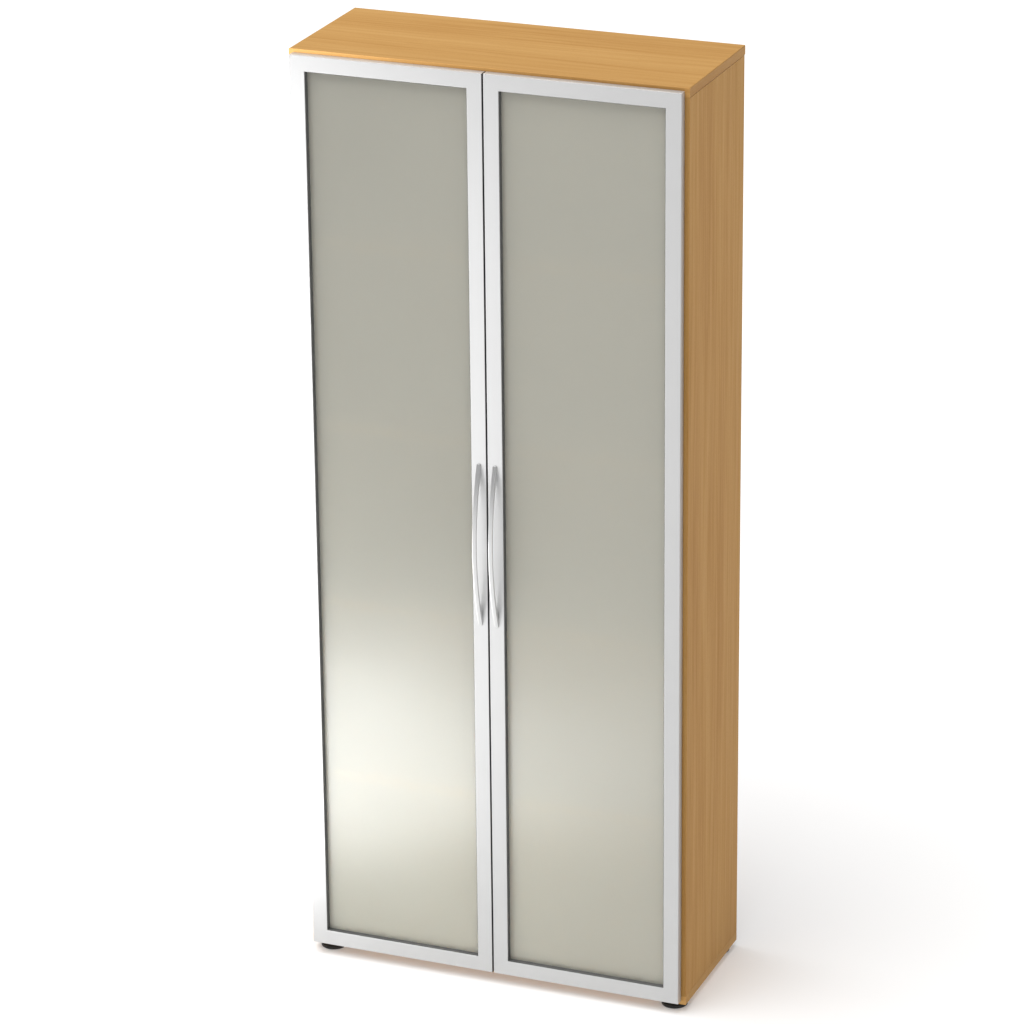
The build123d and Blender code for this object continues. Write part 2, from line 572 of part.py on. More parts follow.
# Handle screws, put in from behind through both walls of the stile.
with BuildPart(front(DB)) as door_left_handle_screws:
    with Locations([(HX, HANDLE_Z + s * HANDLE_PITCH / 2) for s in (-1, 1)]):
        Cylinder(4.0, 2.2, align=(Align.CENTER, Align.CENTER, Align.MAX))
        Cylinder(1.95, DOOR_T + 3.8, align=(Align.CENTER, Align.CENTER, Align.MIN))
    fillet(door_left_handle_screws.edges().filter_by(GeomType.CIRCLE).group_by(Axis.Y)[-1], 1.0)
    with Locations([(HX, HANDLE_Z + s * HANDLE_PITCH / 2, -2.2) for s in (-1, 1)]):
        Box(4.4, 0.9, 1.2, align=(Align.CENTER, Align.CENTER, Align.MIN), mode=Mode.SUBTRACT)
        Box(0.9, 4.4, 1.2, align=(Align.CENTER, Align.CENTER, Align.MIN), mode=Mode.SUBTRACT)
door_left_handle_screws.part.label = "door_left_handle_screws"
export_step(door_left_handle_screws.part, "parts/door_left_handle_screws.step")

# Soft bumpers on the door's back, facing the carcass's top and bottom edges.
BUMPER_XZ = [(DX1 - 20.0, DZ1 - 6.4), (DX1 - 20.0, DZ0 + 4.7)]
with BuildPart(front(DB)) as door_left_bumpers:
    with Locations(BUMPER_XZ):
        Cylinder(4.0, 1.9, align=(Align.CENTER, Align.CENTER, Align.MAX))
    fillet(door_left_bumpers.edges().filter_by(GeomType.CIRCLE).group_by(Axis.Y)[-1], 0.9)
door_left_bumpers.part.label = "door_left_bumpers"
export_step(door_left_bumpers.part, "parts/door_left_bumpers.step")

# ============================================================ hinges, left
# Hinge cups: a shallow housing in the stile with a cavity for the knuckle,
# lugs above and below it that carry the pin, and two screwed ears. The outer
# wall is cut low, so that the arm's neck clears it when the door is wide open.
with BuildPart() as door_left_hinge_cups:
    with BuildSketch(*[flat(z - 21.0) for z in HINGE_Z]):
        with Locations((PX + 6.0, PY + 1.8)):
            Rectangle(19.4, 14.0)
    extrude(amount=42.0)
    with BuildSketch(*[flat(z - 30.0) for z in HINGE_Z]):
        with Locations((PX + 6.0, PY + 9.4)):
            Rectangle(19.0, 1.2)
    extrude(amount=60.0)
    with BuildSketch(*[flat(z - 16.0) for z in HINGE_Z]):
        with Locations((PX + 5.35, PY + 8.4)):
            Rectangle(16.5, 23.2)
    extrude(amount=32.0, mode=Mode.SUBTRACT)
    with BuildSketch(*[flat(z - 16.0) for z in HINGE_Z]):
        with Locations((PX - 4.5, PY + 10.0)):
            Rectangle(3.4, 6.4)
    extrude(amount=32.0, mode=Mode.SUBTRACT)
    with BuildSketch(*[flat(z - 21.0) for z in HINGE_Z]):
        with Locations((PX, PY)):
            Circle(1.27)
    extrude(amount=42.0, mode=Mode.SUBTRACT)
    with BuildSketch(front(DB)):
        with Locations([(DX0 + 11.5, z + dz) for z in HINGE_Z for dz in (-25.5, 25.5)]):
            Circle(1.6)
    extrude(amount=-2.0, mode=Mode.SUBTRACT)
    fillet(door_left_hinge_cups.edges().filter_by(Axis.Y)
           .filter_by(lambda e: e.length < 1.3
                      and min(abs(abs(e.center().Z - z) - 30.0) for z in HINGE_Z) < 0.01), 4.0)
door_left_hinge_cups.part.label = "door_left_hinge_cups"
export_step(door_left_hinge_cups.part, "parts/door_left_hinge_cups.step")

# Hinge pins, fixed in the cup lugs.
with BuildPart() as door_left_hinge_pins:
    with BuildSketch(*[flat(z - 20.5) for z in HINGE_Z]):
        with Locations((PX, PY)):
            Circle(1.25)
    extrude(amount=41.0)
door_left_hinge_pins.part.label = "door_left_hinge_pins"
export_step(door_left_hinge_pins.part, "parts/door_left_hinge_pins.step")

# Screws of the hinge cups.
with BuildPart(front(DB + 1.2)) as door_left_hinge_cup_screws:
    with Locations([(DX0 + 11.5, z + dz) for z in HINGE_Z for dz in (-25.5, 25.5)]):
        Cylinder(1.3, 6.5, align=(Align.CENTER, Align.CENTER, Align.MIN))
        Cylinder(2.6, 0.7, align=(Align.CENTER, Align.CENTER, Align.MAX))
door_left_hinge_cup_screws.part.label = "door_left_hinge_cup_screws"
export_step(door_left_hinge_cup_screws.part, "parts/door_left_hinge_cup_screws.step")

# Hinge arms: a knuckle on the pin, a cranked neck round the stile's back, and
# a channel that fits over the mounting plate.
with BuildPart() as hinge_arms_left:
    with BuildSketch(*[flat(z - 12.0) for z in HINGE_Z]):
        with Locations((PX, PY)):
            Circle(2.5)
        with Locations((PX + 6.5, PY)):
            Rectangle(13.0, 3.0)
        with Locations((PX + 11.5, PY + 8.25)):
            Rectangle(3.0, 19.5)
        with Locations((PX, PY)):
            Circle(1.32, mode=Mode.SUBTRACT)
    extrude(amount=24.0)
    with BuildSketch(*[flat(z - 9.0) for z in HINGE_Z]):
        with Locations((PX + 12.9, PY + 43.25)):
            Rectangle(9.2, 53.5)
    extrude(amount=18.0)
    with BuildSketch(*[flat(z - 7.5) for z in HINGE_Z]):
        with Locations((PX + 11.8, PY + 45.0)):
            Rectangle(8.4, 54.0)
    extrude(amount=15.0, mode=Mode.SUBTRACT)
    with BuildSketch(side(PX + 15.5)):
        with Locations([(PY + v, z) for z in HINGE_Z for v in (32.0, 58.0)]):
            Circle(2.7)
    extrude(amount=2.5, mode=Mode.SUBTRACT)
    fillet(hinge_arms_left.edges().filter_by(Axis.Z)
           .filter_by(lambda e: e.length > 23.9
                      and abs(e.center().X - PX - 13.0) < 0.01
                      and abs(e.center().Y - PY + 1.5) < 0.01), 1.4)
hinge_arms_left.part.label = "hinge_arms_left"
export_step(hinge_arms_left.part, "parts/hinge_arms_left.step")

# Mounting plates: two wings screwed to the side and a raised middle that the
# arm's channel sits on.
with BuildPart() as hinge_plates_left:
    with BuildSketch(side(-XI)):
        with Locations([(PY + 48.0, z) for z in HINGE_Z]):
            RectangleRounded(16.0, 54.0, 7.0)
    extrude(amount=2.2)
    with BuildSketch(side(-XI)):
        with Locations([(PY + 45.0, z) for z in HINGE_Z]):
            Rectangle(42.0, 14.6)
    extrude(amount=PX + 16.0 + XI)
    with BuildSketch(side(-XI)):
        with Locations([(PY + v, z) for z in HINGE_Z for v in (32.0, 58.0)]):
            Circle(2.5)
    extrude(amount=PX + 16.0 + XI, mode=Mode.SUBTRACT)
    with BuildSketch(side(-XI)):
        with Locations([(CF + 37.0, z + dz) for z in HINGE_Z for dz in (-16, 16)]):
            Circle(3.0)
    extrude(amount=2.2, mode=Mode.SUBTRACT)
hinge_plates_left.part.label = "hinge_plates_left"
export_step(hinge_plates_left.part, "parts/hinge_plates_left.step")

# ================================================================ right door
# The right door and its hinge parts mirror the left ones about X = 0.
with BuildPart() as door_right_stile_outer:
    mirror(door_left_stile_outer.part, about=Plane.YZ)
door_right_stile_outer.part.label = "door_right_stile_outer"
export_step(door_right_stile_outer.part, "parts/door_right_stile_outer.step")

with BuildPart() as door_right_stile_inner:
    mirror(door_left_stile_inner.part, about=Plane.YZ)
door_right_stile_inner.part.label = "door_right_stile_inner"
export_step(door_right_stile_inner.part, "parts/door_right_stile_inner.step")

with BuildPart() as door_right_rail_top:
    mirror(door_left_rail_top.part, about=Plane.YZ)
door_right_rail_top.part.label = "door_right_rail_top"
export_step(door_right_rail_top.part, "parts/door_right_rail_top.step")

with BuildPart() as door_right_rail_bottom:
    mirror(door_left_rail_bottom.part, about=Plane.YZ)
door_right_rail_bottom.part.label = "door_right_rail_bottom"
export_step(door_right_rail_bottom.part, "parts/door_right_rail_bottom.step")

with BuildPart() as door_right_corner_brackets:
    mirror(door_left_corner_brackets.part, about=Plane.YZ)
door_right_corner_brackets.part.label = "door_right_corner_brackets"
export_step(door_right_corner_brackets.part, "parts/door_right_corner_brackets.step")

with BuildPart() as door_right_glass:
    mirror(door_left_glass.part, about=Plane.YZ)
door_right_glass.part.label = "door_right_glass"
export_step(door_right_glass.part, "parts/door_right_glass.step")

with BuildPart() as door_right_gasket:
    mirror(door_left_gasket.part, about=Plane.YZ)
door_right_gasket.part.label = "door_right_gasket"
export_step(door_right_gasket.part, "parts/door_right_gasket.step")

with BuildPart() as door_right_handle:
    mirror(door_left_handle.part, about=Plane.YZ)
door_right_handle.part.label = "door_right_handle"
export_step(door_right_handle.part, "parts/door_right_handle.step")

with BuildPart() as door_right_handle_screws:
    mirror(door_left_handle_screws.part, about=Plane.YZ)
door_right_handle_screws.part.label = "door_right_handle_screws"
export_step(door_right_handle_screws.part, "parts/door_right_handle_screws.step")

with BuildPart() as door_right_bumpers:
    mirror(door_left_bumpers.part, about=Plane.YZ)
door_right_bumpers.part.label = "door_right_bumpers"
export_step(door_right_bumpers.part, "parts/door_right_bumpers.step")

with BuildPart() as door_right_hinge_cups:
    mirror(door_left_hinge_cups.part, about=Plane.YZ)
door_right_hinge_cups.part.label = "door_right_hinge_cups"
export_step(door_right_hinge_cups.part, "parts/door_right_hinge_cups.step")

with BuildPart() as door_right_hinge_pins:
    mirror(door_left_hinge_pins.part, about=Plane.YZ)
door_right_hinge_pins.part.label = "door_right_hinge_pins"
export_step(door_right_hinge_pins.part, "parts/door_right_hinge_pins.step")

with BuildPart() as door_right_hinge_cup_screws:
    mirror(door_left_hinge_cup_screws.part, about=Plane.YZ)
door_right_hinge_cup_screws.part.label = "door_right_hinge_cup_screws"
export_step(door_right_hinge_cup_screws.part, "parts/door_right_hinge_cup_screws.step")

with BuildPart() as hinge_arms_right:
    mirror(hinge_arms_left.part, about=Plane.YZ)
hinge_arms_right.part.label = "hinge_arms_right"
export_step(hinge_arms_right.part, "parts/hinge_arms_right.step")

with BuildPart() as hinge_plates_right:
    mirror(hinge_plates_left.part, about=Plane.YZ)
hinge_plates_right.part.label = "hinge_plates_right"
export_step(hinge_plates_right.part, "parts/hinge_plates_right.step")

# Screws of the mounting plates, both sides. Countersunk heads sit on the
# wings; the shanks are 6 mm system screws.
with BuildPart() as hinge_plate_screws:
    with BuildSketch(side(-XI + 2.2)):
        with Locations([(CF + 37.0, z + dz) for z in HINGE_Z for dz in (-16, 16)]):
            Circle(4.4)
    extrude(amount=1.0)
    with BuildSketch(side(-XI + 2.2)):
        with Locations([(CF + 37.0, z + dz) for z in HINGE_Z for dz in (-16, 16)]):
            Circle(2.95)
    extrude(amount=-13.2)
    with BuildSketch(side(XI - 2.2)):
        with Locations([(CF + 37.0, z + dz) for z in HINGE_Z for dz in (-16, 16)]):
            Circle(4.4)
    extrude(amount=-1.0)
    with BuildSketch(side(XI - 2.2)):
        with Locations([(CF + 37.0, z + dz) for z in HINGE_Z for dz in (-16, 16)]):
            Circle(2.95)
    extrude(amount=13.2)
hinge_plate_screws.part.label = "hinge_plate_screws"
export_step(hinge_plate_screws.part, "parts/hinge_plate_screws.step")

# Screws that hold and adjust the arms on the mounting plates, both sides.
with BuildPart() as hinge_arm_screws:
    with BuildSketch(side(PX + 17.5)):
        with Locations([(PY + v, z) for z in HINGE_Z for v in (32.0, 58.0)]):
            Circle(4.0)
    extrude(amount=1.6)
    with BuildSketch(side(PX + 17.5)):
        with Locations([(PY + v, z) for z in HINGE_Z for v in (32.0, 58.0)]):
            Circle(2.45)
    extrude(amount=-11.0)
    with BuildSketch(side(-PX - 17.5)):
        with Locations([(PY + v, z) for z in HINGE_Z for v in (32.0, 58.0)]):
            Circle(4.0)
    extrude(amount=-1.6)
    with BuildSketch(side(-PX - 17.5)):
        with Locations([(PY + v, z) for z in HINGE_Z for v in (32.0, 58.0)]):
            Circle(2.45)
    extrude(amount=11.0)
    with BuildSketch(side(PX + 19.1)):
        with Locations([(PY + v, z) for z in HINGE_Z for v in (32.0, 58.0)]):
            Rectangle(5.0, 0.9)
            Rectangle(0.9, 5.0)
    extrude(amount=-0.9, mode=Mode.SUBTRACT)
    with BuildSketch(side(-PX - 19.1)):
        with Locations([(PY + v, z) for z in HINGE_Z for v in (32.0, 58.0)]):
            Rectangle(5.0, 0.9)
            Rectangle(0.9, 5.0)
    extrude(amount=0.9, mode=Mode.SUBTRACT)
hinge_arm_screws.part.label = "hinge_arm_screws"
export_step(hinge_arm_screws.part, "parts/hinge_arm_screws.step")

# ===================================================================== feet
# Inserts pressed into the bottom board; their bore takes the foot's stem.
with BuildPart() as foot_inserts:
    with Locations([(x, y, Z0) for x, y in FOOT_XY]):
        Cylinder(8.0, 16.0, align=(Align.CENTER, Align.CENTER, Align.MIN))
        Cylinder(5.06, 16.0, align=(Align.CENTER, Align.CENTER, Align.MIN), mode=Mode.SUBTRACT)
foot_inserts.part.label = "foot_inserts"
export_step(foot_inserts.part, "parts/foot_inserts.step")


# Half section of a foot's moulded pad, turned about its own axis.
PAD = [(0, 0), (FOOT_R - 1.2, 0), (FOOT_R, 1.2), (FOOT_R, 6.5), (FOOT_R - 1.5, 8.0),
       (12.0, 11.5), (12.0, 13.6), (5.0, 13.6), (5.0, 4.0), (0, 4.0)]

with BuildPart() as foot_pad_front_left:
    with BuildSketch(Plane(origin=(*FOOT_XY[0], 0), x_dir=(1, 0, 0), z_dir=(0, -1, 0))):
        Polygon(*PAD, align=None)
    revolve(axis=Axis((*FOOT_XY[0], 0), (0, 0, 1)))
foot_pad_front_left.part.label = "foot_pad_front_left"
export_step(foot_pad_front_left.part, "parts/foot_pad_front_left.step")

with BuildPart() as foot_pad_front_right:
    with BuildSketch(Plane(origin=(*FOOT_XY[1], 0), x_dir=(1, 0, 0), z_dir=(0, -1, 0))):
        Polygon(*PAD, align=None)
    revolve(axis=Axis((*FOOT_XY[1], 0), (0, 0, 1)))
foot_pad_front_right.part.label = "foot_pad_front_right"
export_step(foot_pad_front_right.part, "parts/foot_pad_front_right.step")

with BuildPart() as foot_pad_rear_left:
    with BuildSketch(Plane(origin=(*FOOT_XY[2], 0), x_dir=(1, 0, 0), z_dir=(0, -1, 0))):
        Polygon(*PAD, align=None)
    revolve(axis=Axis((*FOOT_XY[2], 0), (0, 0, 1)))
foot_pad_rear_left.part.label = "foot_pad_rear_left"
export_step(foot_pad_rear_left.part, "parts/foot_pad_rear_left.step")

with BuildPart() as foot_pad_rear_right:
    with BuildSketch(Plane(origin=(*FOOT_XY[3], 0), x_dir=(1, 0, 0), z_dir=(0, -1, 0))):
        Polygon(*PAD, align=None)
    revolve(axis=Axis((*FOOT_XY[3], 0), (0, 0, 1)))
foot_pad_rear_right.part.label = "foot_pad_rear_right"
export_step(foot_pad_rear_right.part, "parts/foot_pad_rear_right.step")

# Steel stems moulded into the pads, running in the inserts.
with BuildPart() as foot_stem_front_left:
    with Locations((*FOOT_XY[0], 4.0)):
        Cylinder(5.0, 25.0, align=(Align.CENTER, Align.CENTER, Align.MIN))
    chamfer(foot_stem_front_left.edges().filter_by(GeomType.CIRCLE).group_by(Axis.Z)[-1], 1.0)
foot_stem_front_left.part.label = "foot_stem_front_left"
export_step(foot_stem_front_left.part, "parts/foot_stem_front_left.step")

with BuildPart() as foot_stem_front_right:
    with Locations((*FOOT_XY[1], 4.0)):
        Cylinder(5.0, 25.0, align=(Align.CENTER, Align.CENTER, Align.MIN))
    chamfer(foot_stem_front_right.edges().filter_by(GeomType.CIRCLE).group_by(Axis.Z)[-1], 1.0)
foot_stem_front_right.part.label = "foot_stem_front_right"
export_step(foot_stem_front_right.part, "parts/foot_stem_front_right.step")

with BuildPart() as foot_stem_rear_left:
    with Locations((*FOOT_XY[2], 4.0)):
        Cylinder(5.0, 25.0, align=(Align.CENTER, Align.CENTER, Align.MIN))
    chamfer(foot_stem_rear_left.edges().filter_by(GeomType.CIRCLE).group_by(Axis.Z)[-1], 1.0)
foot_stem_rear_left.part.label = "foot_stem_rear_left"
export_step(foot_stem_rear_left.part, "parts/foot_stem_rear_left.step")

with BuildPart() as foot_stem_rear_right:
    with Locations((*FOOT_XY[3], 4.0)):
        Cylinder(5.0, 25.0, align=(Align.CENTER, Align.CENTER, Align.MIN))
    chamfer(foot_stem_rear_right.edges().filter_by(GeomType.CIRCLE).group_by(Axis.Z)[-1], 1.0)
foot_stem_rear_right.part.label = "foot_stem_rear_right"
export_step(foot_stem_rear_right.part, "parts/foot_stem_rear_right.step")
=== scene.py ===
import math

import bmesh
import bpy
from mathutils import Matrix, Vector


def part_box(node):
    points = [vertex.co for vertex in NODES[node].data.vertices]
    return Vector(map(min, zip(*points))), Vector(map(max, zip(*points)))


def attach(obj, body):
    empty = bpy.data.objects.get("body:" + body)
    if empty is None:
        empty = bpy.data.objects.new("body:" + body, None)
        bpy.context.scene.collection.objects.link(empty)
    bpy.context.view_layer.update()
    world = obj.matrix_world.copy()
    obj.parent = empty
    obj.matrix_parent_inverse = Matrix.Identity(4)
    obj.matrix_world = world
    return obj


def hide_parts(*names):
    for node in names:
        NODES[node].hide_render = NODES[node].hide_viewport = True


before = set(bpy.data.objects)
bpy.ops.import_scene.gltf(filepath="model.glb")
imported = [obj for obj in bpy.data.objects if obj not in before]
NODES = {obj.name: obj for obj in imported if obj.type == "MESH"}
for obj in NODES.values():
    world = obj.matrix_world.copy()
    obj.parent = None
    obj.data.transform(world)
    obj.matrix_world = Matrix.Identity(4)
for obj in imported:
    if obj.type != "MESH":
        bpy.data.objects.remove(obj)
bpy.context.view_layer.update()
scene = bpy.context.scene
scene.view_settings.view_transform = "Standard"
scene.view_settings.look = "None"


# ------------------------------------------------------------------ camera
def aim_camera(place, azimuth, elevation, roll, focal_px):
    """A level studio camera given by its place, view angles and focal length in image widths of 1024."""
    a, e, r = (math.radians(v) for v in (azimuth, elevation, roll))
    back = Vector((math.sin(a) * math.cos(e), -math.cos(a) * math.cos(e), math.sin(e)))
    right = Vector((math.cos(a), math.sin(a), 0.0))
    up = right.cross(-back)
    x = right * math.cos(r) + up * math.sin(r)
    y = up * math.cos(r) - right * math.sin(r)
    data = bpy.data.cameras.new("camera")
    data.sensor_width = 36.0
    data.lens = focal_px * 36.0 / 1024.0
    data.clip_start, data.clip_end = 0.1, 200.0
    cam = bpy.data.objects.new("camera", data)
    m = Matrix((x, y, back)).transposed().to_4x4()
    m.translation = place
    cam.matrix_world = m
    scene.collection.objects.link(cam)
    scene.camera = cam
    return cam


aim_camera((3.09643, -7.73849, 4.21125), 21.8688, 21.342, -0.5875, 4595.36)


# ------------------------------------------------------------ shader helpers
class Graph:
    """A short way to write a node tree."""

    def __init__(self, name):
        self.mat = bpy.data.materials.new(name)
        self.mat.use_nodes = True
        self.nt = self.mat.node_tree
        self.nt.nodes.clear()
        self.out = self.nt.nodes.new("ShaderNodeOutputMaterial")
        self.bsdf = self.nt.nodes.new("ShaderNodeBsdfPrincipled")
        self.nt.links.new(self.bsdf.outputs[0], self.out.inputs["Surface"])
        self.coord = self.nt.nodes.new("ShaderNodeTexCoord")

    def put(self, socket, value):
        if isinstance(value, bpy.types.NodeSocket):
            self.nt.links.new(value, socket)
        else:
            socket.default_value = value

    def set(self, **values):
        for key, value in values.items():
            self.put(self.bsdf.inputs[key.replace("_", " ")], value)

    def scaled(self, scale, vector=None):
        n = self.nt.nodes.new("ShaderNodeMapping")
        self.put(n.inputs["Vector"], vector or self.coord.outputs["Object"])
        n.inputs["Scale"].default_value = scale
        return n.outputs[0]

    def noise(self, vector, scale=1.0, detail=3.0, rough=0.5, distortion=0.0, colour=False):
        n = self.nt.nodes.new("ShaderNodeTexNoise")
        self.put(n.inputs["Vector"], vector)
        n.inputs["Scale"].default_value = scale
        n.inputs["Detail"].default_value = detail
        n.inputs["Roughness"].default_value = rough
        n.inputs["Distortion"].default_value = distortion
        return n.outputs["Color" if colour else "Fac"]

    def voronoi(self, vector, scale=1.0, feature="F1", out="Distance", randomness=1.0):
        n = self.nt.nodes.new("ShaderNodeTexVoronoi")
        n.feature = feature
        self.put(n.inputs["Vector"], vector)
        n.inputs["Scale"].default_value = scale
        n.inputs["Randomness"].default_value = randomness
        return n.outputs[out]

    def math(self, op, a, b=0.0, c=0.0, clamp=False):
        n = self.nt.nodes.new("ShaderNodeMath")
        n.operation = op
        n.use_clamp = clamp
        for i, v in enumerate((a, b, c)):
            self.put(n.inputs[i], v)
        return n.outputs[0]

    def vmath(self, op, a, b=(0, 0, 0)):
        n = self.nt.nodes.new("ShaderNodeVectorMath")
        n.operation = op
        self.put(n.inputs[0], a)
        self.put(n.inputs[1], b)
        return n.outputs["Value" if op == "DOT_PRODUCT" else "Vector"]

    def ramp(self, fac, stops, interpolation="LINEAR"):
        n = self.nt.nodes.new("ShaderNodeValToRGB")
        self.put(n.inputs["Fac"], fac)
        cr = n.color_ramp
        cr.interpolation = interpolation
        while len(cr.elements) < len(stops):
            cr.elements.new(0.5)
        for el, (pos, col) in zip(cr.elements, stops):
            el.position = pos
            el.color = (*col, 1.0)
        return n.outputs["Color"]

    def mix(self, fac, a, b, blend="MIX"):
        n = self.nt.nodes.new("ShaderNodeMix")
        n.data_type = "RGBA"
        n.blend_type = blend
        self.put(n.inputs["Factor"], fac)
        self.put(n.inputs[6], a if isinstance(a, bpy.types.NodeSocket) else (*a, 1.0))
        self.put(n.inputs[7], b if isinstance(b, bpy.types.NodeSocket) else (*b, 1.0))
        return n.outputs[2]

    def span(self, value, lo, hi, a=0.0, b=1.0, smooth=False):
        n = self.nt.nodes.new("ShaderNodeMapRange")
        n.interpolation_type = "SMOOTHSTEP" if smooth else "LINEAR"
        self.put(n.inputs["Value"], value)
        n.inputs["From Min"].default_value = lo
        n.inputs["From Max"].default_value = hi
        n.inputs["To Min"].default_value = a
        n.inputs["To Max"].default_value = b
        return n.outputs[0]

    def bump(self, height, strength, distance, under=None):
        n = self.nt.nodes.new("ShaderNodeBump")
        n.inputs["Strength"].default_value = strength
        n.inputs["Distance"].default_value = distance
        self.put(n.inputs["Height"], height)
        if under is not None:
            self.put(n.inputs["Normal"], under)
        return n.outputs[0]

    def facing(self, axis):
        """How far the surface faces along an axis of the object, from 0 to 1, either way."""
        d = self.vmath("DOT_PRODUCT", self.coord.outputs["Normal"], axis)
        return self.math("ABSOLUTE", d)


def srgb(r, g, b):
    """The linear colour of an sRGB colour given in 0 to 255."""
    out = []
    for c in (r, g, b):
        c /= 255.0
        out.append(c / 12.92 if c <= 0.04045 else ((c + 0.055) / 1.055) ** 2.4)
    return tuple(out)


X, Y, Z = (1, 0, 0), (0, 1, 0), (0, 0, 1)
AXES = {"X": 0, "Y": 1, "Z": 2}


def along(axis, a, b):
    """A scale of a along the grain and b across it."""
    v = [b, b, b]
    v[AXES[axis]] = a
    return tuple(v)


# ---------------------------------------------------------------- materials
LIGHT, MID, DARK = srgb(216, 170, 106), srgb(205, 157, 93), srgb(184, 133, 71)


def beech(g, grain, shade_tone=1.0, seed=0.0):
    """Colour, height and gloss value of the beech decor, with its grain along one axis."""
    base = g.vmath("ADD", g.coord.outputs["Object"], (3.1 + seed, 1.7 + seed * 2, 0.9 - seed))
    drift = g.noise(g.scaled(along(grain, 0.9, 6.0), base), 1.0, 2.0, 0.5, colour=True)
    drift = g.vmath("MULTIPLY", g.vmath("SUBTRACT", drift, (0.5, 0.5, 0.5)), along(grain, 0.0, 0.035))
    wavy = g.vmath("ADD", base, drift)
    broad = g.noise(g.scaled(along(grain, 0.55, 9.0), wavy), 1.0, 2.0, 0.55)
    streak = g.noise(g.scaled(along(grain, 2.2, 95.0), wavy), 1.0, 5.0, 0.62)
    hair = g.noise(g.scaled(along(grain, 9.0, 620.0), wavy), 1.0, 3.0, 0.6)
    fleck = g.noise(g.scaled(along(grain, 170.0, 1500.0), wavy), 1.0, 1.0, 0.5)
    fleck = g.span(fleck, 0.60, 0.70, 0.0, 1.0, smooth=True)
    f = g.math("ADD", g.math("MULTIPLY", g.span(broad, 0.3, 0.7), 0.34),
               g.math("MULTIPLY", g.span(streak, 0.28, 0.72), 0.44))
    f = g.math("ADD", f, g.math("MULTIPLY", g.span(hair, 0.25, 0.75), 0.22))
    col = g.ramp(f, [(0.12, LIGHT), (0.5, MID), (0.92, DARK)])
    col = g.mix(g.math("MULTIPLY", fleck, 0.22), col, srgb(150, 96, 54))
    # Painted shade: a tone below 1 darkens the decor for faces that take less light.
    if shade_tone != 1.0:
        col = g.mix(1.0, col, (shade_tone, shade_tone * 0.98, shade_tone * 0.93), "MULTIPLY")
    height = g.math("SUBTRACT", g.math("MULTIPLY", hair, 0.6), g.math("MULTIPLY", fleck, 0.5))
    return col, height, streak


def chipboard(g):
    """Raw particle board, as it shows in bores and on unbanded edges."""
    v = g.scaled((1.0, 1.0, 1.6))
    chips = g.voronoi(v, 620.0, out="Color")
    one = g.nt.nodes.new("ShaderNodeSeparateColor")
    g.put(one.inputs[0], chips)
    fine = g.noise(v, 2600.0, 2.0, 0.6)
    f = g.math("ADD", g.math("MULTIPLY", one.outputs[0], 0.7), g.math("MULTIPLY", fine, 0.3))
    col = g.ramp(f, [(0.1, srgb(122, 88, 56)), (0.45, srgb(176, 138, 94)), (0.9, srgb(214, 182, 136))])
    return col, f


def board_material(name, grain, face, seed, shade_tone=1.0):
    """A decor-faced particle board: decor on the two broad faces, chips on the raw ones."""
    g = Graph(name)
    col, height, streak = beech(g, grain, shade_tone=shade_tone, seed=seed)
    raw, chips = chipboard(g)
    decor = g.span(g.facing(face), 0.80, 0.95)
    g.set(Base_Color=g.mix(decor, raw, col))
    g.set(Specular_IOR_Level=0.08)
    rough_decor = g.span(streak, 0.3, 0.7, 0.50, 0.60)
    rough = g.math("ADD", g.math("MULTIPLY", rough_decor, decor),
                   g.math("MULTIPLY", g.math("SUBTRACT", 1.0, decor), 0.85))
    g.set(Roughness=rough)
    h = g.math("ADD", g.math("MULTIPLY", height, g.math("MULTIPLY", decor, 0.25)),
               g.math("MULTIPLY", chips, g.math("SUBTRACT", 1.0, decor)))
    g.set(Normal=g.bump(h, 0.35, 0.0003))
    return g.mat


def edging_material(name, grain, seed, ends=None, shade_tone=1.0):
    """Edge banding in the same decor, a little smoother. On end strips the grain turns to their own length, and
    they are toned darker as painted shade for the sideways faces.
    """
    g = Graph(name)
    col, height, streak = beech(g, grain, shade_tone=shade_tone, seed=seed)
    if ends:
        # Painted shade: the sideways end strips are toned 0.89 darker, for faces that take less light.
        col2, height2, streak2 = beech(g, ends, shade_tone=shade_tone * 0.89, seed=seed + 0.3)
        side_on = g.span(g.facing(X), 0.55, 0.75)
        col = g.mix(side_on, col, col2)
        height = g.math("ADD", g.math("MULTIPLY", height, g.math("SUBTRACT", 1.0, side_on)),
                        g.math("MULTIPLY", height2, side_on))
    g.set(Base_Color=col, Roughness=g.span(streak, 0.3, 0.7, 0.46, 0.56))
    g.set(Specular_IOR_Level=0.10)
    g.set(Normal=g.bump(height, 0.12, 0.0002))
    return g.mat


def back_material():
    """Hardboard back panel: decor on the inner face, brown pressed fibre on the outer one."""
    g = Graph("back_board_decor")
    col, height, streak = beech(g, "Z", seed=2.4)
    inner = g.span(g.vmath("DOT_PRODUCT", g.coord.outputs["Normal"], (0, -1, 0)), 0.5, 0.8)
    cloud = g.noise(g.scaled((9, 9, 9)), 1.0, 4.0, 0.6)
    fibre = g.noise(g.scaled((240, 240, 240)), 1.0, 4.0, 0.65, 1.2)
    f = g.math("ADD", g.math("MULTIPLY", cloud, 0.4), g.math("MULTIPLY", fibre, 0.6))
    brown = g.ramp(f, [(0.25, srgb(134, 102, 73)), (0.55, srgb(157, 122, 88)), (0.8, srgb(176, 140, 103))])
    g.set(Base_Color=g.mix(inner, brown, col))
    g.set(Roughness=g.math("ADD", g.math("MULTIPLY", inner, -0.26),
                           g.span(fibre, 0.3, 0.7, 0.66, 0.78)))
    h = g.math("ADD", g.math("MULTIPLY", fibre, g.math("SUBTRACT", 1.0, inner)),
               g.math("MULTIPLY", height, g.math("MULTIPLY", inner, 0.2)))
    g.set(Normal=g.bump(h, 0.25, 0.0003))
    return g.mat


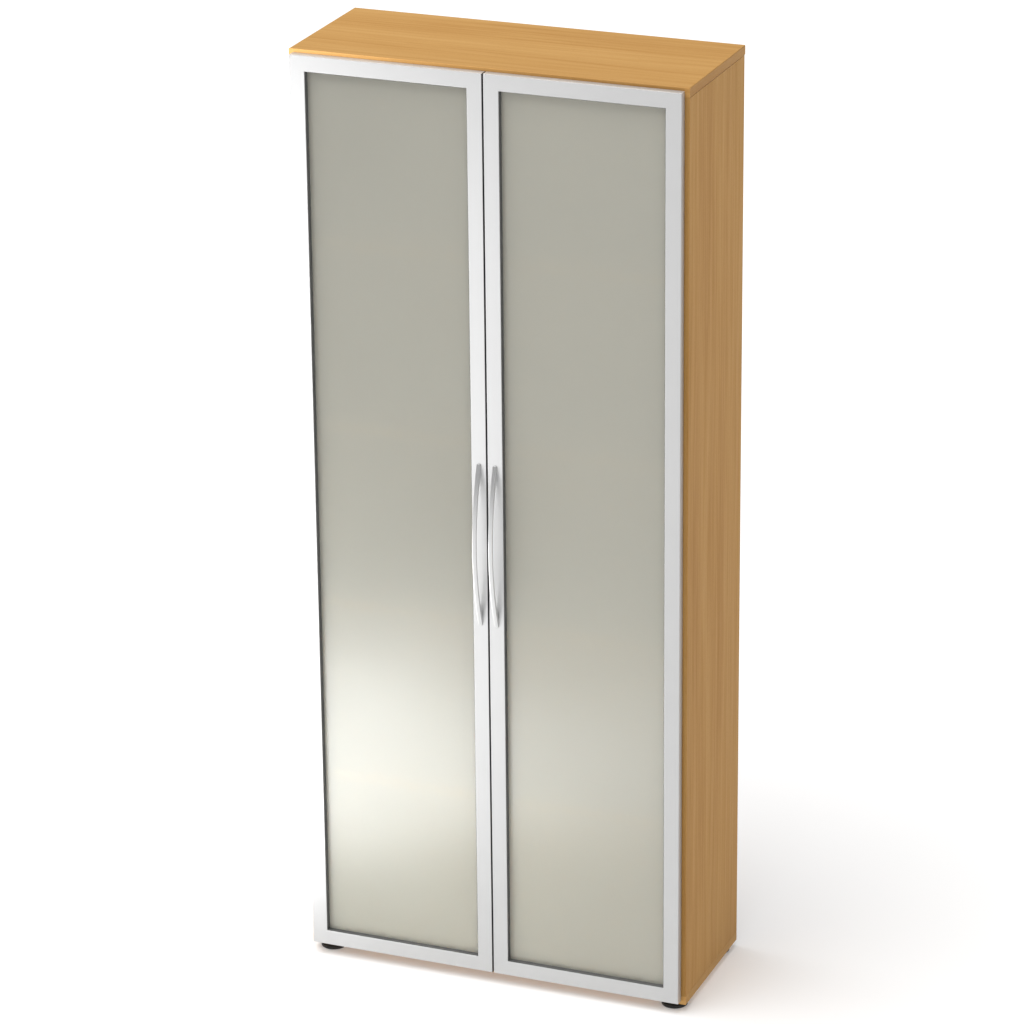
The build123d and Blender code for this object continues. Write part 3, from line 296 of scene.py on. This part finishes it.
def metal_material(name, colour, rough, grain=None, spread=0.05, metallic=1.0, bump=0.05,
                   mottled=0.0, tint=0.03, anisotropic=0.0, gap_shade=None):
    """Metal with fine lines along one axis or a cast, mottled skin. The last argument paints shade: a dark band
    about X = 0 on the faces in the shadowed gap between the doors.
    """
    g = Graph(name)
    cloud = g.noise(g.scaled((14, 14, 14)), 1.0, 3.0, 0.55)
    if grain:
        lines = g.noise(g.scaled(along(grain, 16.0, 2600.0)), 1.0, 3.0, 0.65)
    else:
        lines = g.noise(g.scaled((900, 900, 900)), 1.0, 3.0, 0.6)
    f = g.math("ADD", g.math("MULTIPLY", lines, 0.6), g.math("MULTIPLY", cloud, 0.4))
    lo = tuple(c * (1.0 - tint) for c in colour)
    hi = tuple(min(1.0, c * (1.0 + tint)) for c in colour)
    col = g.ramp(f, [(0.3, lo), (0.7, hi)])
    # Painted shade: the faces in the gap between the doors are darkened here to stand for the shadow there.
    if gap_shade:
        split = g.nt.nodes.new("ShaderNodeSeparateXYZ")
        g.put(split.inputs[0], g.coord.outputs["Object"])
        near = g.span(g.math("ABSOLUTE", split.outputs[0]), gap_shade[0], gap_shade[1], 1.0, 0.0)
        col = g.mix(near, col, gap_shade[2])
    g.set(Base_Color=col)
    g.set(Roughness=g.span(f, 0.3, 0.7, rough - spread, rough + spread))
    g.set(Metallic=metallic)
    if anisotropic:
        g.set(Anisotropic=anisotropic)
    height = lines
    if mottled:
        pits = g.noise(g.scaled((420, 420, 420)), 1.0, 4.0, 0.7)
        height = g.math("ADD", lines, g.math("MULTIPLY", pits, mottled))
    g.set(Normal=g.bump(height, bump, 0.0001))
    return g.mat


def glass_material():
    """Satin glass: etched, mostly scattering, with a blurred view of what stands close behind it."""
    g = Graph("satin_glass_etched")
    cloud = g.noise(g.scaled((2.2, 2.2, 1.4)), 1.0, 2.0, 0.5)
    etch = g.noise(g.scaled((1800, 1800, 1800)), 1.0, 2.0, 0.6)
    g.set(Base_Color=g.ramp(cloud, [(0.3, srgb(229, 228, 215)), (0.7, srgb(234, 233, 220))]))
    g.set(Roughness=g.math("ADD", g.span(cloud, 0.3, 0.7, 0.34, 0.37),
                           g.math("MULTIPLY", etch, 0.04)))
    g.set(IOR=1.5, Transmission_Weight=0.57)
    g.set(Normal=g.bump(etch, 0.08, 0.00005))
    return g.mat


def soft_material(name, colour, rough, grain_size=1400.0, bump=0.25, tint=0.15, transmission=0.0):
    """Moulded plastic or rubber with an eroded skin."""
    g = Graph(name)
    skin = g.voronoi(g.scaled((1, 1, 1)), grain_size, feature="SMOOTH_F1")
    cloud = g.noise(g.scaled((40, 40, 40)), 1.0, 3.0, 0.6)
    lo = tuple(c * (1.0 - tint) for c in colour)
    hi = tuple(min(1.0, c * (1.0 + tint)) for c in colour)
    g.set(Base_Color=g.ramp(cloud, [(0.3, lo), (0.7, hi)]))
    g.set(Roughness=g.math("ADD", g.span(cloud, 0.3, 0.7, rough - 0.05, rough + 0.05),
                           g.math("MULTIPLY", skin, 0.06)))
    if transmission:
        g.set(Transmission_Weight=transmission, IOR=1.45)
    g.set(Normal=g.bump(skin, bump, 0.0002))
    return g.mat


def dowel_material():
    g = Graph("dowel_beech")
    col, height, streak = beech(g, "Z", seed=5.0)
    g.set(Base_Color=col, Roughness=g.span(streak, 0.3, 0.7, 0.55, 0.7))
    g.set(Normal=g.bump(height, 0.4, 0.0003))
    return g.mat


MATERIALS = {
    "board_flat": board_material("beech_board_flat", "X", Z, 0.0),
    # The upright boards are toned 0.90 darker: painted shade for the sideways faces that take less light.
    "board_side": board_material("beech_board_upright", "Z", X, 1.1, 0.90),
    "edge_top": edging_material("beech_edging_top", "X", 0.6, ends="Y"),
    # The upright edgings are toned 0.82 darker: painted shade for the shadow next to the doors on the sides' front
    # edges.
    "edge_side": edging_material("beech_edging_upright", "Z", 1.4, shade_tone=0.82),
    "edge_shelf": edging_material("beech_edging_shelf", "X", 1.9),
    "back": back_material(),
    "profile_z": metal_material("silver_profile_upright", srgb(200, 200, 200), 0.42, "Z", 0.03, 0.70, 0.04),
    # The meeting stiles carry a painted shade band on their faces in the gap between the doors.
    "profile_meet": metal_material("silver_profile_meeting", srgb(200, 200, 200), 0.42, "Z", 0.03, 0.70, 0.04,
                                   gap_shade=(0.0016, 0.0021, srgb(84, 84, 83))),
    "profile_x": metal_material("silver_profile_level", srgb(200, 200, 200), 0.42, "X", 0.03, 0.70, 0.04),
    "handle": metal_material("satin_handle_brushed", srgb(213, 213, 213), 0.36, "Z", 0.04, 0.9, 0.06),
    "glass": glass_material(),
    "gasket": soft_material("gasket_grey", srgb(96, 97, 96), 0.62, 2200.0, 0.12, 0.08),
    "hinge": metal_material("hinge_steel_plated", srgb(206, 203, 197), 0.26, None, 0.05, 1.0, 0.05),
    "zinc": metal_material("zinc_casting_skin", srgb(178, 178, 176), 0.40, None, 0.07, 1.0, 0.10, 0.8),
    "screw": metal_material("screw_steel_plated", srgb(198, 200, 204), 0.28, None, 0.06, 1.0, 0.05),
    "black": soft_material("black_plastic_eroded", srgb(30, 30, 31), 0.48),
    "bumper": soft_material("bumper_clear", srgb(222, 222, 216), 0.30, 900.0, 0.05, 0.03, 0.35),
    "dowel": dowel_material(),
}

FINISH = {
    "board_flat": ["top_board", "bottom_board", "shelf_1", "shelf_2", "shelf_3", "shelf_4"],
    "board_side": ["side_left", "side_right"],
    "edge_top": ["top_board_edging", "bottom_board_edging"],
    "edge_side": ["side_edgings"],
    "edge_shelf": ["shelf_edgings"],
    "back": ["back_panel"],
    "dowel": ["wood_dowels"],
    "zinc": ["cam_housings"],
    "black": ["foot_inserts"],
    "hinge": ["hinge_arms_left", "hinge_arms_right", "hinge_plates_left", "hinge_plates_right"],
    "screw": ["back_panel_screws", "shelf_pins", "cam_bolts", "hinge_plate_screws", "hinge_arm_screws"],
}
for s in ("left", "right"):
    d = f"door_{s}_"
    FINISH.setdefault("profile_z", []).append(d + "stile_outer")
    FINISH.setdefault("profile_meet", []).append(d + "stile_inner")
    FINISH.setdefault("profile_x", []).extend([d + "rail_top", d + "rail_bottom"])
    FINISH.setdefault("glass", []).append(d + "glass")
    FINISH.setdefault("gasket", []).append(d + "gasket")
    FINISH.setdefault("handle", []).append(d + "handle")
    FINISH.setdefault("bumper", []).append(d + "bumpers")
    FINISH["zinc"].extend([d + "corner_brackets", d + "hinge_cups"])
    FINISH["hinge"].append(d + "hinge_pins")
    FINISH["screw"].extend([d + "handle_screws", d + "hinge_cup_screws"])
for c in ("front_left", "front_right", "rear_left", "rear_right"):
    FINISH["black"].append("foot_pad_" + c)
    FINISH["screw"].append("foot_stem_" + c)

for key, names in FINISH.items():
    for n in names:
        for slot in NODES[n].material_slots:
            slot.material = MATERIALS[key]
left_out = sorted(set(NODES) - {n for names in FINISH.values() for n in names})
if left_out:
    raise RuntimeError("no finish for " + ", ".join(left_out))


# ------------------------------------------------------- threaded foot stems
def threaded_stem(name, node):
    """A stem with a rolled helical thread, a lead-in at its upper end and a plain end in the pad."""
    lo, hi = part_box(node)
    cx, cy = (lo.x + hi.x) / 2, (lo.y + hi.y) / 2
    radius = (hi.x - lo.x) / 2
    pitch, depth, around = 0.0015, 0.00085, 48
    rows = int((hi.z - lo.z) / pitch * 10)
    bm = bmesh.new()
    rings = []
    for i in range(rows + 1):
        z = lo.z + (hi.z - lo.z) * i / rows
        ring = []
        for k in range(around):
            a = 2 * math.pi * k / around
            t = ((z - lo.z) / pitch - k / around) % 1.0
            crest = max(0.0, 1.0 - abs(t - 0.5) * 2.35)
            r = radius - depth * (1.0 - min(1.0, crest * 1.18))
            r = min(r, radius - 0.0009 + (hi.z - z) * 0.9)
            r = min(r, radius - 0.0012 + max(0.0, (z - lo.z - 0.001) * 0.8)) if z - lo.z < 0.003 else r
            ring.append(bm.verts.new((cx + r * math.cos(a), cy + r * math.sin(a), z)))
        rings.append(ring)
    for a, b in zip(rings, rings[1:]):
        for k in range(around):
            j = (k + 1) % around
            bm.faces.new((a[k], a[j], b[j], b[k]))
    bm.faces.new(list(reversed(rings[0])))
    bm.faces.new(rings[-1])
    me = bpy.data.meshes.new(name)
    bm.to_mesh(me)
    bm.free()
    for p in me.polygons:
        p.use_smooth = len(p.vertices) == 4
    ob = bpy.data.objects.new(name, me)
    scene.collection.objects.link(ob)
    ob.data.materials.append(MATERIALS["screw"])
    return ob


for c in ("front_left", "front_right", "rear_left", "rear_right"):
    stem = threaded_stem("threaded_stem_" + c, "foot_stem_" + c)
    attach(stem, "foot_" + c)
    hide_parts("foot_stem_" + c)


# -------------------------------------------------------------------- stage
def make_floor():
    """A plain pale floor, open from below so that the underside can be seen."""
    g = Graph("studio_floor")
    cloud = g.noise(g.scaled((0.6, 0.6, 0.6)), 1.0, 2.0, 0.5)
    g.set(Base_Color=g.ramp(cloud, [(0.3, (0.91, 0.91, 0.91)), (0.7, (0.93, 0.93, 0.93))]))
    g.set(Roughness=0.9)
    geo = g.nt.nodes.new("ShaderNodeNewGeometry")
    clear = g.nt.nodes.new("ShaderNodeBsdfTransparent")
    mix = g.nt.nodes.new("ShaderNodeMixShader")
    g.nt.links.new(geo.outputs["Backfacing"], mix.inputs[0])
    g.nt.links.new(g.bsdf.outputs[0], mix.inputs[1])
    g.nt.links.new(clear.outputs[0], mix.inputs[2])
    g.nt.links.new(mix.outputs[0], g.out.inputs["Surface"])
    me = bpy.data.meshes.new("floor")
    s = 40.0
    me.from_pydata([(-s, -s, 0), (s, -s, 0), (s, s, 0), (-s, s, 0)], [], [(0, 1, 2, 3)])
    ob = bpy.data.objects.new("floor", me)
    scene.collection.objects.link(ob)
    me.materials.append(g.mat)
    return ob


FLOOR = make_floor()

world = bpy.data.worlds.new("studio")
scene.world = world
world.use_nodes = True
wn = world.node_tree
wn.nodes.clear()
bg = wn.nodes.new("ShaderNodeBackground")
bg.inputs["Color"].default_value = (1.0, 1.0, 1.0, 1.0)
bg.inputs["Strength"].default_value = 0.28
wo = wn.nodes.new("ShaderNodeOutputWorld")
wn.links.new(bg.outputs[0], wo.inputs[0])


def area_light(name, place, target, size, power, colour=(1, 1, 1), spread=180.0, shape="RECTANGLE"):
    data = bpy.data.lights.new(name, "AREA")
    data.shape = shape
    data.size, data.size_y = size
    data.energy = power
    data.color = colour
    data.spread = math.radians(spread)
    ob = bpy.data.objects.new(name, data)
    ob.location = place
    ob.rotation_euler = (Vector(target) - Vector(place)).to_track_quat("-Z", "Y").to_euler()
    scene.collection.objects.link(ob)
    ob.visible_camera = False
    return ob


def sun_light(name, azimuth, elevation, strength, angle):
    """Very soft light from one side: azimuth 0 is from the front, positive from the right."""
    data = bpy.data.lights.new(name, "SUN")
    data.energy = strength
    data.angle = math.radians(angle)
    ob = bpy.data.objects.new(name, data)
    a, e = math.radians(azimuth), math.radians(elevation)
    back = Vector((math.sin(a) * math.cos(e), -math.cos(a) * math.cos(e), math.sin(e)))
    ob.rotation_euler = back.to_track_quat("Z", "Y").to_euler()
    scene.collection.objects.link(ob)
    return ob


def only_on(light, names):
    """The light reaches these nodes alone, as a flag does on a studio light."""
    c = bpy.data.collections.new(light.name + "_reaches")
    for n in names:
        c.objects.link(NODES[n])
    light.light_linking.receiver_collection = c


PANES = ["door_left_glass", "door_right_glass"]
FRAMES = [f"door_{s}_{p}" for s in ("left", "right")
          for p in ("stile_outer", "stile_inner", "rail_top", "rail_bottom")]

HANDLES = ["door_left_handle", "door_right_handle"]

sun_light("overhead_soft", -42.0, 69.0, 2.50, 60.0)
fill = sun_light("floor_fill", 0.0, 88.0, 0.80, 20.0)
c = bpy.data.collections.new("floor_only")
c.objects.link(FLOOR)
fill.light_linking.receiver_collection = c
fill.light_linking.blocker_collection = c

glow = area_light("low_glow", (-0.79, -0.48, 0.235), (-0.60, 0.0, 0.435), (1.02, 0.41), 14.8, (0.96, 0.98, 1.0))
tail = area_light("low_glow_side", (0.0, -0.48, 0.33), (0.19, 0.0, 0.53), (0.50, 0.26), 1.40, (0.96, 0.98, 1.0))
strip = area_light("left_strip", (-0.92, -0.85, 0.85), (-0.55, 0.0, 1.20), (0.16, 1.7), 7.0)
low_strip = area_light("left_strip_low", (-0.62, -0.45, 0.13), (-0.47, 0.0, 0.24), (0.12, 0.24), 1.0)
wide = area_light("left_wide", (-0.50, -0.85, 0.72), (-0.20, 0.0, 1.07), (0.40, 1.6), 2.2)
low_rail = area_light("low_rail", (0.06, -0.53, -0.10), (0.20, -0.18, 0.04), (0.50, 0.12), 0.01, (0.85, 0.97, 1.0))
rim = area_light("handle_rim", (-0.80, -0.35, 0.45), (0.0, -0.18, 0.90), (0.45, 0.45), 6.5)
edge = area_light("top_edge", (-0.42, -0.50, 1.91), (-0.40, -0.15, 1.87), (0.15, 0.02), 1.8)
ledge = area_light("door_top_ledge", (-0.30, 0.80, 2.28), (0.0, -0.16, 1.88), (1.2, 0.3), 2.3, (1.0, 0.86, 0.72))
only_on(ledge, ["door_left_rail_top", "door_right_rail_top"])
top_left = area_light("top_left", (-0.60, 0.10, 2.70), (-0.50, 0.10, 1.88), (0.5, 0.3), 0.7)
only_on(top_left, ["top_board", "top_board_edging"])
only_on(edge, ["top_board_edging"])
for lamp, nodes in ((low_rail, ["door_right_rail_bottom"]), (rim, HANDLES), (glow, PANES), (tail, PANES), (strip, FRAMES), (low_strip, FRAMES), (wide, FRAMES)):
    lamp.visible_diffuse = False
    only_on(lamp, nodes)
panes_only = glow.light_linking.receiver_collection
for lamp in (low_rail, ledge):
    lamp.light_linking.blocker_collection = panes_only
